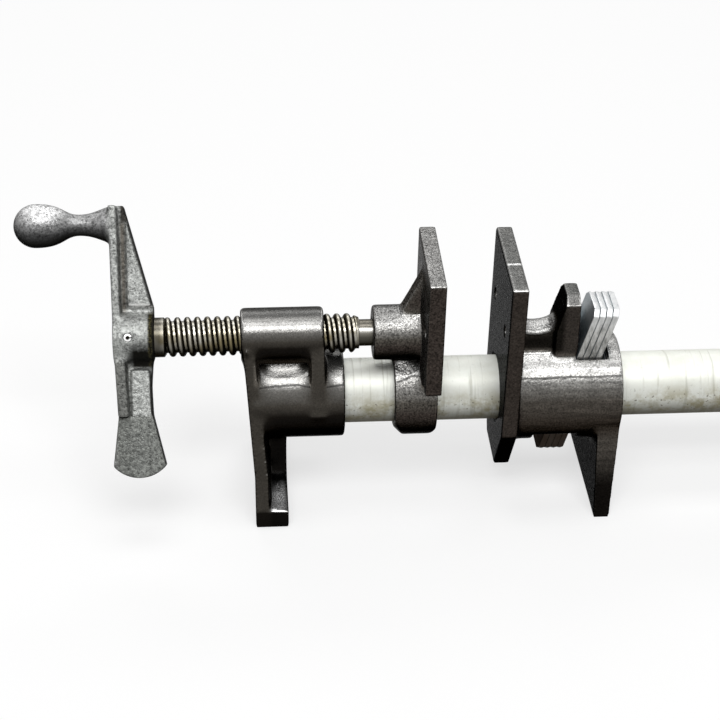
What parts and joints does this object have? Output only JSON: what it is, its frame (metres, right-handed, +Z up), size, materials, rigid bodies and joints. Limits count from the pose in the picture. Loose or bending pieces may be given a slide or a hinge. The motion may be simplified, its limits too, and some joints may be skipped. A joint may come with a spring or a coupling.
{
  "type": "woodworking pipe clamp",
  "caption": "Pipe clamp: crank screw and threaded head on a steel pipe, sliding front jaw, and a tail jaw that a tilting plate clutch locks anywhere along the pipe.",
  "frame": {"origin": "on the bench plane under the pipe axis, at the middle of the head casting's foot", "axes": "+X along the pipe, from the head towards the sliding tail; +Z up from the bench; Y across the jaws"},
  "size_m": [0.4113, 0.0719, 0.1233],
  "materials": {
    "dark_casting": "rough black cast skin, slightly glossy",
    "light_casting": "bare grey cast skin",
    "screw_steel": "oiled rolled steel",
    "galvanised_pipe": "galvanised, satin",
    "zinc_plate": "bright zinc plate",
    "spring_steel": "plain spring steel"
  },
  "bodies": {
    "frame": {"head_casting": "dark_casting", "pipe": "galvanised_pipe"},
    "front_jaw": {"front_jaw": "dark_casting", "jaw_pin": "spring_steel"},
    "screw": {"screw": "screw_steel", "crank": "light_casting", "crank_pin": "spring_steel"},
    "tail": {"tail_casting": "dark_casting", "clutch_spring": "spring_steel"},
    "clutch_plate_1": {"clutch_plate_1": "zinc_plate"},
    "clutch_plate_2": {"clutch_plate_2": "zinc_plate"},
    "clutch_plate_3": {"clutch_plate_3": "zinc_plate"},
    "clutch_plate_4": {"clutch_plate_4": "zinc_plate"}
  },
  "joints": [
    {"name": "jaw_feed", "type": "slide", "parent": "frame", "child": "front_jaw", "axis": [1, 0, 0], "range_m": [-0.011, 0.0245]},
    {"name": "crank_turn", "type": "hinge", "parent": "front_jaw", "child": "screw", "pos_m": [0, 0, 0.076], "axis": [1, 0, 0], "range_deg": [-989, 2204]},
    {"name": "tail_slide", "type": "slide", "parent": "frame", "child": "tail", "axis": [1, 0, 0], "range_m": [0, 0.145]},
    {"name": "clutch_tilt_1", "type": "hinge", "parent": "tail", "child": "clutch_plate_1", "pos_m": [0.1253, 0, 0.0686], "axis": [0, 1, 0], "range_deg": [-12, 0], "stiffness_Nm_per_rad": 0.6, "springref_deg": 8.59},
    {"name": "clutch_tilt_2", "type": "hinge", "parent": "tail", "child": "clutch_plate_2", "pos_m": [0.12793, 0, 0.0686], "axis": [0, 1, 0], "range_deg": [-12, 0]},
    {"name": "clutch_tilt_3", "type": "hinge", "parent": "tail", "child": "clutch_plate_3", "pos_m": [0.13057, 0, 0.0686], "axis": [0, 1, 0], "range_deg": [-12, 0]},
    {"name": "clutch_tilt_4", "type": "hinge", "parent": "tail", "child": "clutch_plate_4", "pos_m": [0.1332, 0, 0.0686], "axis": [0, 1, 0], "range_deg": [-12, 0], "deforming": ["clutch_spring"]}
  ],
  "couplings": [
    {"joint": "jaw_feed", "follows": "crank_turn", "m_per_rad": 0.00063662},
    {"joint": "clutch_tilt_2", "follows": "clutch_tilt_1", "ratio": 1},
    {"joint": "clutch_tilt_3", "follows": "clutch_tilt_1", "ratio": 1},
    {"joint": "clutch_tilt_4", "follows": "clutch_tilt_1", "ratio": 1}
  ]
}
